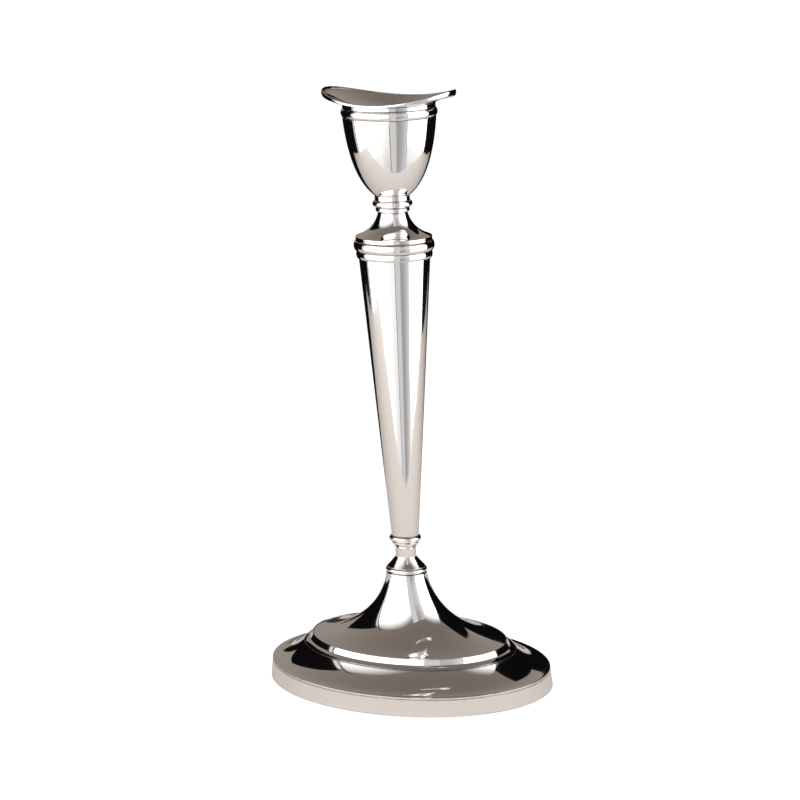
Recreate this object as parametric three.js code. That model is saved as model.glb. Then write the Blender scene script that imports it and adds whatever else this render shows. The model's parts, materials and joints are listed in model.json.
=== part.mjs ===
// Oval silver table candlestick with a lift-off drip pan.
// Millimetres, +Z up, +X along the long side of the oval, standing on the plane z = 0.
import * as THREE from 'three';

// Sheet and fits
const SHEET = 0.9;
const SEAT = 0.3;
const BORE_FIT = 0.35;
const SLIDE_FIT = 0.45;
const BEAD_ROUND = 0.75;

// Plan ovals
const BASE_LENGTH = 142.8;
const BASE_WIDTH = 103.4;
const DOME_LENGTH = 98.4;
const DOME_WIDTH = 66.4;
const STEM_OVAL = 0.84;

// Underside
const PAD_THICK = 1.2;
const PAD_PROUD = 0.5;
const PLATE_THICK = 1.4;
const WELL_LENGTH = 24;
const WELL_DEPTH = 5;
const WELL_SLOPE = 1.5;

// Foot
const BAND_HEIGHT = 7.8;
const BAND_FLARE = 1;
const BAND_WALL = 1.4;
const BORDER_RISE = 7.2;
const BORDER_INSET = 18.6;
const OVOLO_REACH = 2.2;
const OVOLO_HEIGHT = 3;
const FILLET_HEIGHT = 1.6;
const FILLET_STEP = 0.3;
const MOULDING_DEPTH = 2.4;
const DOME_RISE = 29.2;
const DOME_TOP_LENGTH = 20.8;
const DOME_SWEEP_IN = 0.16;
const DOME_SWEEP_UP = 0.2;
const FILLING_GAP = 0.9;

// Lower knop
const DOME_BEAD_LENGTH = 20.8;
const DOME_BEAD_HEIGHT = 2.2;
const DOME_RING_LENGTH = 20.4;
const DOME_RING_HEIGHT = 2.2;
const SPOOL_FOOT_LENGTH = 18.6;
const SPOOL_WAIST_LENGTH = 10.2;
const SPOOL_TOP_LENGTH = 13.2;
const SPOOL_FLARE_HEIGHT = 4.8;
const SPOOL_NECK_HEIGHT = 3.9;
const SPOOL_RISE_HEIGHT = 2.7;
const SPOOL_FILLET_HEIGHT = 0.9;
const SPOOL_SWEEP_IN = 0.35;
const SPOOL_SWEEP_UP = 0.5;
const SPOOL_NECK_SWEEP = 0.4;
const COLUMN_RING_LENGTH = 15.7;
const COLUMN_RING_HEIGHT = 2.7;

// Column and collar
const COLUMN_FOOT_LENGTH = 13.4;
const COLUMN_HEAD_LENGTH = 35.6;
const COLUMN_HEIGHT = 142.4;
const LOWER_REED_PROUD = 1.2;
const LOWER_REED_HEIGHT = 3.3;
const UPPER_REED_PROUD = 2;
const UPPER_REED_HEIGHT = 4.3;
const SHOULDER_PROUD = 0.6;
const SHOULDER_EDGE = 1.9;
const SHOULDER_RISE = 11.1;
const SHOULDER_TOP_LENGTH = 14.1;
const SHOULDER_SWEEP_IN = 0.155;
const SHOULDER_SWEEP_UP = 0.23;

// Upper knop
const SMALL_RING_LENGTH = 16.4;
const SMALL_RING_HEIGHT = 2.3;
const LARGE_RING_LENGTH = 19.2;
const LARGE_RING_HEIGHT = 2.7;

// Sconce
const SCONCE_STEM_LENGTH = 16.8;
const SCONCE_STEM_HEIGHT = 2;
const SCONCE_FLOOR = 1.2;
const SCONCE_BELLY = 13.3;
const SCONCE_ROOM = 5.95;
const SCONCE_SWEEP_OUT = 0.82;
const SCONCE_SWEEP_UP = 0.24;
const SCONCE_BEAD_PROUD = 0.65;
const SCONCE_BEAD_HEIGHT = 3.9;
const MOUTH_STEP = 0.2;
const MOUTH_WALL = 1.1;
const MOUTH_HEIGHT = 1.6;

// Drip pan and candle cup
const CANDLE_BORE = 22.5;
const CUP_WALL = 0.85;
const CUP_DEPTH = 23.3;
const CUP_PROUD = 0.8;
const PAN_OVERHANG = 9.4;
const PAN_WIDTH_OVERHANG = 0.2;
const PAN_RISE = 5;
const PAN_DISH = 4.4;
const RIM_HEIGHT = 2.8;
const RIM_THIN = 0.45;
const RIM_DEPTH = 1.4;
const SKIRT_HEIGHT = 3.4;

// Tie rod
const ROD_DIAMETER = 5;
const ROD_HEAD_DIAMETER = 9.6;
const ROD_HEAD_HEIGHT = 2.2;
const WASHER_DIAMETER = 11;
const WASHER_THICK = 1;
const NUT_ACROSS_FLATS = 8;
const NUT_HEIGHT = 3.2;

// Facets round the axis and steps along a curve
const FOOT_FACETS = 36;
const STEM_FACETS = 24;
const SCONCE_FACETS = 28;
const ROD_FACETS = 16;
const CURVE_STEPS = 6;
const PAN_STEPS = 3;
const LONG_CURVE_STEPS = 8;
const BEAD_STEPS = 6;
const ARC_STEPS = 4;
const HALVINGS = 24;

// Materials
const silver = new THREE.MeshStandardMaterial({ color: 0xdcd8d0, roughness: 0.08, metalness: 1 });
const steel = new THREE.MeshStandardMaterial({ color: 0x8d8f92, roughness: 0.4, metalness: 1 });
const baize = new THREE.MeshStandardMaterial({ color: 0x24402f, roughness: 0.95, metalness: 0 });
const plaster = new THREE.MeshStandardMaterial({ color: 0xd8d2c4, roughness: 0.9, metalness: 0 });

// Half-widths that belong to a half-length on the foot, on the stem and on round pieces
const borderTaper = (BASE_WIDTH - DOME_WIDTH) / (BASE_LENGTH - DOME_LENGTH);
const domeTaper = (DOME_WIDTH - DOME_TOP_LENGTH * STEM_OVAL) / (DOME_LENGTH - DOME_TOP_LENGTH);

function stemWidth(halfLength) {
  return halfLength * STEM_OVAL;
}

function footWidth(halfLength) {
  if (halfLength > DOME_LENGTH / 2) return DOME_WIDTH / 2 + (halfLength - DOME_LENGTH / 2) * borderTaper;
  if (halfLength > DOME_TOP_LENGTH / 2) {
    return stemWidth(DOME_TOP_LENGTH / 2) + (halfLength - DOME_TOP_LENGTH / 2) * domeTaper;
  }
  return stemWidth(halfLength);
}

function roundWidth(halfLength) {
  return halfLength;
}

// A point of a profile: half-length from the axis, height
function at(halfLength, height) {
  return new THREE.Vector2(halfLength, height);
}

// The same curve moved inwards by a distance square to itself
function inset(points, distance) {
  return points.map((point, i) => {
    const before = points[Math.max(i - 1, 0)];
    const after = points[Math.min(i + 1, points.length - 1)];
    const along = after.clone().sub(before).normalize();
    return at(point.x - along.y * distance, point.y + along.x * distance);
  });
}

// A sheet wall: the outer curve going up and the inner curve coming back
function shell(outer, wall) {
  return [...outer, ...inset(outer, wall).reverse()];
}

// A drawn half-round moulding between an inner half-length and its crown
function bead(inner, crown, bottom, height) {
  const bulge = Math.min(height / 2, (crown - inner) * BEAD_ROUND);
  const round = new THREE.EllipseCurve(crown - bulge, bottom + height / 2, bulge, height / 2,
    -Math.PI / 2, Math.PI / 2);
  return [at(inner, bottom), ...round.getPoints(BEAD_STEPS), at(inner, bottom + height)];
}

// Turns a profile round the upright axis and gives each half-length its own half-width
function turn(profile, facets, widthOf) {
  const closed = profile[0].x === 0 ? profile : [...profile, profile[0].clone()];
  const geometry = new THREE.LatheGeometry(closed, facets);
  const position = geometry.attributes.position;
  for (let i = 0; i < position.count; i++) {
    const along = position.getX(i);
    const across = position.getZ(i);
    const halfLength = Math.hypot(along, across);
    const squeeze = halfLength > 0 ? widthOf(halfLength) / halfLength : 0;
    position.setXYZ(i, along, -across * squeeze, position.getY(i));
  }
  geometry.computeVertexNormals();
  return geometry;
}

// Moves each vertex to the height that a rule gives for its place
function reshape(geometry, heightOf) {
  const position = geometry.attributes.position;
  for (let i = 0; i < position.count; i++) {
    position.setZ(i, heightOf(position.getX(i), position.getY(i), position.getZ(i)));
  }
  geometry.computeVertexNormals();
  return geometry;
}

const candlestick = new THREE.Group();
const dripPan = new THREE.Group();
candlestick.add(dripPan);

function add(group, name, geometry, material) {
  const mesh = new THREE.Mesh(geometry, material);
  mesh.name = name;
  group.add(mesh);
}

// Sizes that follow from the ones above
const rodRadius = ROD_DIAMETER / 2;
const rodHole = (rodRadius + BORE_FIT) / STEM_OVAL;
const bandBottom = PAD_PROUD;
const bandTop = bandBottom + BAND_HEIGHT;
const bandInner = BASE_LENGTH / 2 - BAND_WALL;
const plateBottom = PAD_THICK + SEAT;
const plateTop = plateBottom + PLATE_THICK;
const wellTop = plateBottom + WELL_DEPTH;

// Baize pad
const padLength = bandInner - SLIDE_FIT;
add(candlestick, 'baize_pad', turn([at(0, 0), at(padLength, 0), at(padLength, PAD_THICK), at(0, PAD_THICK)],
  FOOT_FACETS, footWidth), baize);

// Base plate with a dished well for the nut
const plateLength = bandInner - BAND_FLARE * (plateTop - bandBottom) / BAND_HEIGHT - SLIDE_FIT;
const wellLength = WELL_LENGTH / 2;
add(candlestick, 'base_plate', turn([
  at(rodHole, wellTop),
  at(wellLength, wellTop),
  at(wellLength + WELL_SLOPE, plateBottom),
  at(plateLength, plateBottom),
  at(plateLength, plateTop),
  at(wellLength + WELL_SLOPE + PLATE_THICK, plateTop),
  at(wellLength + PLATE_THICK, wellTop + PLATE_THICK),
  at(rodHole, wellTop + PLATE_THICK),
], FOOT_FACETS, footWidth), steel);

// Plain band round the foot, a little wider at the bottom
const bandEdge = BASE_LENGTH / 2 - BAND_FLARE;
add(candlestick, 'foot_band', turn([
  at(bandInner, bandBottom),
  at(BASE_LENGTH / 2, bandBottom),
  at(bandEdge, bandTop),
  at(bandEdge - BAND_WALL, bandTop),
], FOOT_FACETS, footWidth), silver);

// Hollow border rising from the band
const borderLow = bandTop + SEAT + SHEET;
const borderTop = borderLow + BORDER_RISE;
const borderCurve = new THREE.EllipseCurve(bandEdge, borderTop, BORDER_INSET, BORDER_RISE,
  -Math.PI / 2, -Math.PI, true).getPoints(CURVE_STEPS);
add(candlestick, 'foot_border', turn(shell(borderCurve, SHEET), FOOT_FACETS, footWidth), silver);

// Ovolo and fillet moulding that carries the dome
const mouldingBottom = borderTop + SEAT;
const mouldingTop = mouldingBottom + OVOLO_HEIGHT + FILLET_HEIGHT;
const filletLength = DOME_LENGTH / 2 + FILLET_STEP;
const mouldingInner = filletLength - MOULDING_DEPTH;
const ovoloCurve = new THREE.EllipseCurve(filletLength, mouldingBottom, OVOLO_REACH, OVOLO_HEIGHT,
  0, Math.PI / 2);
add(candlestick, 'foot_moulding', turn([
  at(mouldingInner, mouldingBottom),
  ...ovoloCurve.getPoints(ARC_STEPS),
  at(filletLength, mouldingTop),
  at(mouldingInner, mouldingTop),
], FOOT_FACETS, footWidth), silver);

// Trumpet dome
const domeBottom = mouldingTop + SEAT + SHEET;
const domeTop = domeBottom + DOME_RISE;
const domeSpan = (DOME_LENGTH - DOME_TOP_LENGTH) / 2;
const domeCurve = new THREE.QuadraticBezierCurve(
  at(DOME_LENGTH / 2, domeBottom),
  at(DOME_TOP_LENGTH / 2 + domeSpan * DOME_SWEEP_IN, domeBottom + DOME_RISE * DOME_SWEEP_UP),
  at(DOME_TOP_LENGTH / 2, domeTop),
);
const domeWall = domeCurve.getPoints(LONG_CURVE_STEPS);
add(candlestick, 'foot_dome', turn(shell(domeWall, SHEET), FOOT_FACETS, footWidth), silver);

// Plaster filling cast into the hollow of the foot
const fillingBottom = plateTop + SEAT;
const fillingEdge = bandEdge - BAND_WALL - FILLING_GAP;
const underBorder = inset(borderCurve, SHEET + FILLING_GAP).filter((point) => point.x < fillingEdge);
const fillingStep = underBorder[underBorder.length - 1].y;
const fillingNeck = mouldingInner - FILLING_GAP;
const underDome = inset(domeCurve.getPoints(CURVE_STEPS), SHEET + FILLING_GAP)
  .filter((point) => point.x < fillingNeck);
add(candlestick, 'foot_filling', turn([
  at(rodHole, wellTop + PLATE_THICK + SEAT),
  at(wellLength + PLATE_THICK + SEAT, wellTop + PLATE_THICK + SEAT),
  at(wellLength + WELL_SLOPE + PLATE_THICK + SEAT, fillingBottom),
  at(fillingEdge, fillingBottom),
  at(fillingEdge, bandTop - SEAT),
  ...underBorder,
  at(fillingNeck, fillingStep),
  ...underDome,
  at(rodHole, underDome[underDome.length - 1].y),
], FOOT_FACETS, footWidth), plaster);

// Two rings on top of the dome
const domeBeadBottom = domeTop + SEAT;
const domeRingBottom = domeBeadBottom + DOME_BEAD_HEIGHT + SEAT;
add(candlestick, 'dome_bead', turn(bead(rodHole, DOME_BEAD_LENGTH / 2, domeBeadBottom, DOME_BEAD_HEIGHT),
  STEM_FACETS, stemWidth), silver);
add(candlestick, 'dome_ring', turn(bead(rodHole, DOME_RING_LENGTH / 2, domeRingBottom, DOME_RING_HEIGHT),
  STEM_FACETS, stemWidth), silver);

// Waisted spool of the lower knop
const spoolBottom = domeRingBottom + DOME_RING_HEIGHT + SEAT;
const waist = spoolBottom + SPOOL_FLARE_HEIGHT;
const neckTop = waist + SPOOL_NECK_HEIGHT;
const spoolFillet = neckTop + SPOOL_RISE_HEIGHT;
const spoolTop = spoolFillet + SPOOL_FILLET_HEIGHT;
const spoolFlare = (SPOOL_FOOT_LENGTH - SPOOL_WAIST_LENGTH) / 2;
const spoolPath = new THREE.Path();
spoolPath.moveTo(SPOOL_FOOT_LENGTH / 2, spoolBottom);
spoolPath.quadraticCurveTo(SPOOL_WAIST_LENGTH / 2 + spoolFlare * SPOOL_SWEEP_IN,
  spoolBottom + SPOOL_FLARE_HEIGHT * SPOOL_SWEEP_UP, SPOOL_WAIST_LENGTH / 2, waist);
spoolPath.lineTo(SPOOL_WAIST_LENGTH / 2, neckTop);
spoolPath.quadraticCurveTo(SPOOL_WAIST_LENGTH / 2, neckTop + SPOOL_RISE_HEIGHT * SPOOL_NECK_SWEEP,
  SPOOL_TOP_LENGTH / 2, spoolFillet);
spoolPath.lineTo(SPOOL_TOP_LENGTH / 2, spoolTop);
add(candlestick, 'lower_knop', turn([
  at(rodHole, spoolBottom),
  ...spoolPath.getPoints(ARC_STEPS),
  at(rodHole, spoolTop),
], STEM_FACETS, stemWidth), silver);

// Ring under the column
const columnRingBottom = spoolTop + SEAT;
add(candlestick, 'column_ring', turn(bead(rodHole, COLUMN_RING_LENGTH / 2, columnRingBottom,
  COLUMN_RING_HEIGHT), STEM_FACETS, stemWidth), silver);

// Tapered column, a plain sheet tube
const columnBottom = columnRingBottom + COLUMN_RING_HEIGHT + SEAT;
const columnTop = columnBottom + COLUMN_HEIGHT;

function columnLength(height) {
  const share = (height - columnBottom) / COLUMN_HEIGHT;
  return COLUMN_FOOT_LENGTH / 2 + share * (COLUMN_HEAD_LENGTH - COLUMN_FOOT_LENGTH) / 2;
}

add(candlestick, 'column', turn([
  at(COLUMN_FOOT_LENGTH / 2 - SHEET, columnBottom),
  at(COLUMN_FOOT_LENGTH / 2, columnBottom),
  at(COLUMN_HEAD_LENGTH / 2, columnTop),
  at(COLUMN_HEAD_LENGTH / 2 - SHEET, columnTop),
], SCONCE_FACETS, stemWidth), silver);

// Two reeds drawn round the head of the column
const upperReedBottom = columnTop - UPPER_REED_HEIGHT;
const lowerReedTop = upperReedBottom - SEAT;
const lowerReedBottom = lowerReedTop - LOWER_REED_HEIGHT;
const reedFit = SEAT / STEM_OVAL;
add(candlestick, 'lower_reed', turn(bead(columnLength(lowerReedTop) + reedFit,
  columnLength(lowerReedBottom) + LOWER_REED_PROUD, lowerReedBottom, LOWER_REED_HEIGHT),
SCONCE_FACETS, stemWidth), silver);
add(candlestick, 'upper_reed', turn(bead(columnLength(columnTop) + reedFit,
  columnLength(upperReedBottom) + UPPER_REED_PROUD, upperReedBottom, UPPER_REED_HEIGHT),
SCONCE_FACETS, stemWidth), silver);

// Shoulder that closes the column and draws in to the upper knop
const shoulderBottom = columnTop + SEAT;
const shoulderEdge = shoulderBottom + SHOULDER_EDGE;
const shoulderTop = shoulderEdge + SHOULDER_RISE;
const shoulderLength = COLUMN_HEAD_LENGTH / 2 + SHOULDER_PROUD;
const shoulderSpan = shoulderLength - SHOULDER_TOP_LENGTH / 2;
const shoulderPath = new THREE.Path();
shoulderPath.moveTo(shoulderLength, shoulderBottom);
shoulderPath.lineTo(shoulderLength, shoulderEdge);
shoulderPath.quadraticCurveTo(SHOULDER_TOP_LENGTH / 2 + shoulderSpan * SHOULDER_SWEEP_IN,
  shoulderEdge + SHOULDER_RISE * SHOULDER_SWEEP_UP, SHOULDER_TOP_LENGTH / 2, shoulderTop);
add(candlestick, 'shoulder', turn(shell(shoulderPath.getPoints(CURVE_STEPS), SHEET),
  SCONCE_FACETS, stemWidth), silver);

// Two rings of the upper knop
const smallRingBottom = shoulderTop + SEAT;
const largeRingBottom = smallRingBottom + SMALL_RING_HEIGHT + SEAT;
add(candlestick, 'upper_knop_ring', turn(bead(rodHole, SMALL_RING_LENGTH / 2, smallRingBottom,
  SMALL_RING_HEIGHT), STEM_FACETS, stemWidth), silver);
add(candlestick, 'upper_knop', turn(bead(rodHole, LARGE_RING_LENGTH / 2, largeRingBottom, LARGE_RING_HEIGHT),
  STEM_FACETS, stemWidth), silver);

// Urn-shaped sconce, wide enough round the candle cup
const cupRadius = CANDLE_BORE / 2 + CUP_WALL;
const sconceLength = (cupRadius + SCONCE_ROOM) / STEM_OVAL + SHEET;
const sconceBottom = largeRingBottom + LARGE_RING_HEIGHT + SEAT;
const urnBottom = sconceBottom + SCONCE_STEM_HEIGHT;
const urnTop = urnBottom + SCONCE_BELLY + CUP_DEPTH;
const urnSpan = sconceLength - SCONCE_STEM_LENGTH / 2;
const urnPath = new THREE.Path();
urnPath.moveTo(SCONCE_STEM_LENGTH / 2, urnBottom);
urnPath.quadraticCurveTo(SCONCE_STEM_LENGTH / 2 + urnSpan * SCONCE_SWEEP_OUT,
  urnBottom + (urnTop - urnBottom) * SCONCE_SWEEP_UP, sconceLength, urnTop);
const urnCurve = urnPath.getPoints(LONG_CURVE_STEPS);
const urnInside = inset(urnCurve, SHEET).filter((point) => point.y > sconceBottom + SCONCE_FLOOR);
add(candlestick, 'sconce', turn([
  at(rodHole, sconceBottom),
  at(SCONCE_STEM_LENGTH / 2, sconceBottom),
  ...urnCurve,
  ...urnInside.reverse(),
  at(SCONCE_STEM_LENGTH / 2 - SHEET, sconceBottom + SCONCE_FLOOR),
  at(rodHole, sconceBottom + SCONCE_FLOOR),
], SCONCE_FACETS, stemWidth), silver);

// Reed round the lip of the sconce
const mouthOuter = sconceLength - MOUTH_STEP;
const mouthInner = mouthOuter - MOUTH_WALL;
const sconceBeadBottom = urnTop + SEAT;
add(candlestick, 'sconce_bead', turn(bead(mouthInner, sconceLength + SCONCE_BEAD_PROUD, sconceBeadBottom,
  SCONCE_BEAD_HEIGHT), SCONCE_FACETS, stemWidth), silver);

// Plan and heights of the drip pan: a boat-shaped dish with a rim, raised at both ends
const mouthBottom = sconceBeadBottom + SCONCE_BEAD_HEIGHT + SEAT;
const panLength = sconceLength + PAN_OVERHANG + RIM_DEPTH;
const panWidth = stemWidth(sconceLength) + PAN_WIDTH_OVERHANG + RIM_DEPTH;
const panBottom = mouthBottom + MOUTH_HEIGHT + SEAT;
const panTop = panBottom + SHEET;
const panHole = cupRadius + SEAT;
const panEdge = panLength - RIM_DEPTH - SEAT;

function rimWidthAt(halfLength) {
  return panWidth - (panLength - halfLength);
}

function panWidthAt(halfLength) {
  return panHole + (halfLength - panHole) * (rimWidthAt(panEdge) - panHole) / (panEdge - panHole);
}

function panRise(x) {
  return PAN_RISE * (x / panLength) ** 2;
}

function dishDepth(halfLength) {
  return PAN_DISH * (panEdge - halfLength) / (panEdge - panHole);
}

// Height of the pan's underside over a place in the plan
function panUnderside(x, y) {
  let inside = panHole;
  let outside = panLength;
  for (let step = 0; step < HALVINGS; step++) {
    const middle = (inside + outside) / 2;
    if (Math.hypot(x / middle, y / panWidthAt(middle)) > 1) inside = middle;
    else outside = middle;
  }
  return panBottom - dishDepth(inside) + panRise(x);
}

// Mouth whose top edge is shaped to seat the drip pan
const mouth = turn([
  at(mouthInner, mouthBottom),
  at(mouthOuter, mouthBottom),
  at(mouthOuter, mouthBottom + MOUTH_HEIGHT),
  at(mouthInner, mouthBottom + MOUTH_HEIGHT),
], SCONCE_FACETS, stemWidth);
add(candlestick, 'sconce_mouth', reshape(mouth, (x, y, z) => (
  z > mouthBottom + MOUTH_HEIGHT / 2 ? panUnderside(x, y) - SEAT : z)), silver);

// Drip pan, dished towards a round hole for the cup
const panUnder = [];
for (let step = 0; step <= PAN_STEPS; step++) {
  const halfLength = panHole + (panEdge - panHole) * step / PAN_STEPS;
  panUnder.push(at(halfLength, panBottom - dishDepth(halfLength)));
}
const panOver = panUnder.map((point) => at(point.x, point.y + SHEET)).reverse();
add(dripPan, 'drip_pan', reshape(turn([...panUnder, ...panOver], FOOT_FACETS, panWidthAt),
  (x, y, z) => z + panRise(x)), silver);

// Rounded rim round the pan, thinner along the sides than at both ends
const rimMiddle = panBottom + SHEET / 2;
const rim = turn(bead(panEdge + SEAT, panLength, rimMiddle - RIM_HEIGHT / 2, RIM_HEIGHT),
  FOOT_FACETS, rimWidthAt);
add(dripPan, 'pan_rim', reshape(rim, (x, y, z) => {
  const fullness = RIM_THIN + (1 - RIM_THIN) * (x / panLength) ** 2;
  return rimMiddle + (z - rimMiddle) * fullness + panRise(x);
}), silver);

// Candle cup in the middle of the dish
const dishFloor = panTop - PAN_DISH;
const cupTop = dishFloor + CUP_PROUD;
const cupBottom = dishFloor - CUP_DEPTH - CUP_WALL;
add(dripPan, 'candle_cup', turn([
  at(0, cupBottom),
  at(cupRadius, cupBottom),
  at(cupRadius, cupTop),
  at(cupRadius - CUP_WALL, cupTop),
  at(cupRadius - CUP_WALL, cupBottom + CUP_WALL),
  at(0, cupBottom + CUP_WALL),
], STEM_FACETS, roundWidth), silver);

// Oval skirt under the pan that centres it in the mouth
const skirtOuter = mouthInner - SLIDE_FIT;
const skirtBottom = panBottom - PAN_DISH / 2 - SKIRT_HEIGHT;
const skirt = turn([
  at(skirtOuter - SHEET, skirtBottom),
  at(skirtOuter, skirtBottom),
  at(skirtOuter, skirtBottom + SKIRT_HEIGHT),
  at(skirtOuter - SHEET, skirtBottom + SKIRT_HEIGHT),
], SCONCE_FACETS, stemWidth);
add(dripPan, 'pan_skirt', reshape(skirt, (x, y, z) => (
  z > skirtBottom + SKIRT_HEIGHT / 2 ? panUnderside(x, y) - SEAT : z)), silver);

// Steel rod from the well to the floor of the sconce, with its head, washer and nut
const headBottom = sconceBottom + SCONCE_FLOOR + SEAT;
const washerBottom = wellTop - SEAT - WASHER_THICK;
const nutBottom = washerBottom - SEAT - NUT_HEIGHT;
add(candlestick, 'tie_rod', turn([
  at(0, nutBottom),
  at(rodRadius, nutBottom),
  at(rodRadius, headBottom),
  at(ROD_HEAD_DIAMETER / 2, headBottom),
  at(ROD_HEAD_DIAMETER / 2, headBottom + ROD_HEAD_HEIGHT),
  at(0, headBottom + ROD_HEAD_HEIGHT),
], ROD_FACETS, roundWidth), steel);

add(candlestick, 'rod_washer', turn([
  at(rodRadius + BORE_FIT, washerBottom),
  at(WASHER_DIAMETER / 2, washerBottom),
  at(WASHER_DIAMETER / 2, washerBottom + WASHER_THICK),
  at(rodRadius + BORE_FIT, washerBottom + WASHER_THICK),
], STEM_FACETS, roundWidth), steel);

const hexagon = new THREE.Shape();
for (let corner = 0; corner < 6; corner++) {
  const angle = corner * Math.PI / 3;
  const reach = NUT_ACROSS_FLATS / Math.sqrt(3);
  if (corner === 0) hexagon.moveTo(reach, 0);
  else hexagon.lineTo(reach * Math.cos(angle), reach * Math.sin(angle));
}
const thread = new THREE.Path();
thread.absarc(0, 0, rodRadius + BORE_FIT, 0, 2 * Math.PI);
hexagon.holes.push(thread);
const nut = new THREE.ExtrudeGeometry(hexagon, {
  depth: NUT_HEIGHT,
  bevelEnabled: false,
  curveSegments: ROD_FACETS / 2,
});
nut.translate(0, 0, nutBottom);
add(candlestick, 'rod_nut', nut, steel);

export default candlestick;
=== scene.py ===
"""Oval silver table candlestick with a lift-off drip pan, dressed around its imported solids."""
import json
import math

import bmesh
import bpy
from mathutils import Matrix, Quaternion, Vector

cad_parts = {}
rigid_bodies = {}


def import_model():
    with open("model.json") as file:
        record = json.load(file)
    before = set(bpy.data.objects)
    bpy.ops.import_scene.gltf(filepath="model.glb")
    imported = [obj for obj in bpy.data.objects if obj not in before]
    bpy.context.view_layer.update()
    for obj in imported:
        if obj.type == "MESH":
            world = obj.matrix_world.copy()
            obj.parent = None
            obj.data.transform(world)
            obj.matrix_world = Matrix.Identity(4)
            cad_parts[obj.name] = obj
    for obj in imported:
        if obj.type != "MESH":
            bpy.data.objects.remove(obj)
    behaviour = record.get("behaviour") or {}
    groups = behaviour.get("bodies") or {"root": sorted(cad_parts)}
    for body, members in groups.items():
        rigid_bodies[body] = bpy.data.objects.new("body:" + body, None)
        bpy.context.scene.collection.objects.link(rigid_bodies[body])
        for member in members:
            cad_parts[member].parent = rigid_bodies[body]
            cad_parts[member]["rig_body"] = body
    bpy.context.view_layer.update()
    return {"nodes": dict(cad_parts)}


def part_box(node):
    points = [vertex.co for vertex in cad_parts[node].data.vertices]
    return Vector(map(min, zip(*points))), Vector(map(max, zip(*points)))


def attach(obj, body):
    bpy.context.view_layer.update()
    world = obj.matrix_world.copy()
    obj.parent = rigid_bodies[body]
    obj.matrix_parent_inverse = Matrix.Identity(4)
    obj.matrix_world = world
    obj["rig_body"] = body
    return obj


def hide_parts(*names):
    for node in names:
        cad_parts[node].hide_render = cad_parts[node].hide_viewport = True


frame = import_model()

MM = 0.001

# Sheet, joints between soldered pieces and eased edges, in millimetres
SHEET = 0.9
SEAT = 0.3
HAIRLINE = 0.06
CLOSE_UP = SEAT - HAIRLINE
EASE = 0.25
SOFT_EASE = 0.45
SEAM_FADE = 0.8

# How finely the pieces are turned, and how their corners and faces are told apart
FACETS = 192
CURVE_STEPS = 48
BEAD_STEPS = 20
CORNER_STEPS = 5
CORNER_ANGLE = math.radians(24)
SHARP_ANGLE = math.radians(50)
CORNER_SHARE = 0.4
REED_BULGE = 0.75
UPWARD = 0.5
TINY = 1e-6

# Plan ovals
STEM_OVAL = 0.84
DOME_LENGTH = 49.2
DOME_WIDTH = 33.2
DOME_TOP = 10.4


def levels(node):
    """Bottom, top, half-length and half-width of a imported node, in millimetres."""
    low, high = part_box(node)
    return low.z / MM, high.z / MM, high.x / MM, high.y / MM


BASE_LENGTH, BASE_WIDTH = levels("foot_band")[2:]


def stem_width(length):
    """Half-width of the stem's oval for a half-length."""
    return length * STEM_OVAL


def foot_width(length):
    """Half-width of the foot's oval, which grows rounder towards the stem."""
    if length > DOME_LENGTH:
        taper = (BASE_WIDTH - DOME_WIDTH) / (BASE_LENGTH - DOME_LENGTH)
        return DOME_WIDTH + (length - DOME_LENGTH) * taper
    if length > DOME_TOP:
        taper = (DOME_WIDTH - stem_width(DOME_TOP)) / (DOME_LENGTH - DOME_TOP)
        return stem_width(DOME_TOP) + (length - DOME_TOP) * taper
    return stem_width(length)


def round_width(length):
    """Half-width of a round piece."""
    return length


# Plan of the drip pan: a boat-shaped dish, round at the cup and oval at the rim
PAN_LENGTH, PAN_WIDTH = levels("pan_rim")[2:]
CUP_RADIUS = levels("candle_cup")[2]
RIM_DEPTH = 1.4
PAN_RISE = 5
PAN_DISH = 4.4
PAN_HOLE = CUP_RADIUS + HAIRLINE
PAN_EDGE = PAN_LENGTH - RIM_DEPTH - HAIRLINE
MOUTH_HEIGHT = 1.6
PAN_LOW = levels("sconce_mouth")[0] + MOUTH_HEIGHT + SEAT
DISH_SOFTNESS = 0.3
HALVINGS = 24


def rim_width(length):
    """Half-width of the drip pan's rim, which is as deep all the way round."""
    return PAN_WIDTH - (PAN_LENGTH - length)


def pan_width(length):
    """Half-width of the drip pan."""
    return PAN_HOLE + (length - PAN_HOLE) * (rim_width(PAN_EDGE) - PAN_HOLE) / (PAN_EDGE - PAN_HOLE)


def pan_rise(x):
    """How far the pan curves up at a distance along its length."""
    return PAN_RISE * (x / PAN_LENGTH) ** 2


def dish_depth(length):
    """How far the pan dips below its edge, easing off at the rim and at the cup."""
    share = (PAN_EDGE - length) / (PAN_EDGE - PAN_HOLE)
    return PAN_DISH * (share + DISH_SOFTNESS * (share * share * (3 - 2 * share) - share))


def pan_underside(x, y):
    """Height of the pan's underside over a place in the plan."""
    inside, outside = PAN_HOLE, PAN_LENGTH
    for _ in range(HALVINGS):
        middle = (inside + outside) / 2
        if math.hypot(x / middle, y / pan_width(middle)) > 1:
            inside = middle
        else:
            outside = middle
    return PAN_LOW - dish_depth(inside) + pan_rise(x)


def sweep(start, pull, end, steps=CURVE_STEPS):
    """A smooth curve from start to end, drawn towards the point pull."""
    points = []
    for step in range(steps + 1):
        t = step / steps
        weights = ((1 - t) ** 2, 2 * t * (1 - t), t * t)
        points.append(tuple(sum(w * p[k] for w, p in zip(weights, (start, pull, end))) for k in (0, 1)))
    return points


def half_round(centre, reach, rise):
    """The outer half of an ellipse, from its bottom to its top."""
    points = []
    for step in range(BEAD_STEPS + 1):
        angle = math.radians(180 * step / BEAD_STEPS - 90)
        points.append((centre[0] + reach * math.cos(angle), centre[1] + rise * math.sin(angle)))
    return points


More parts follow.
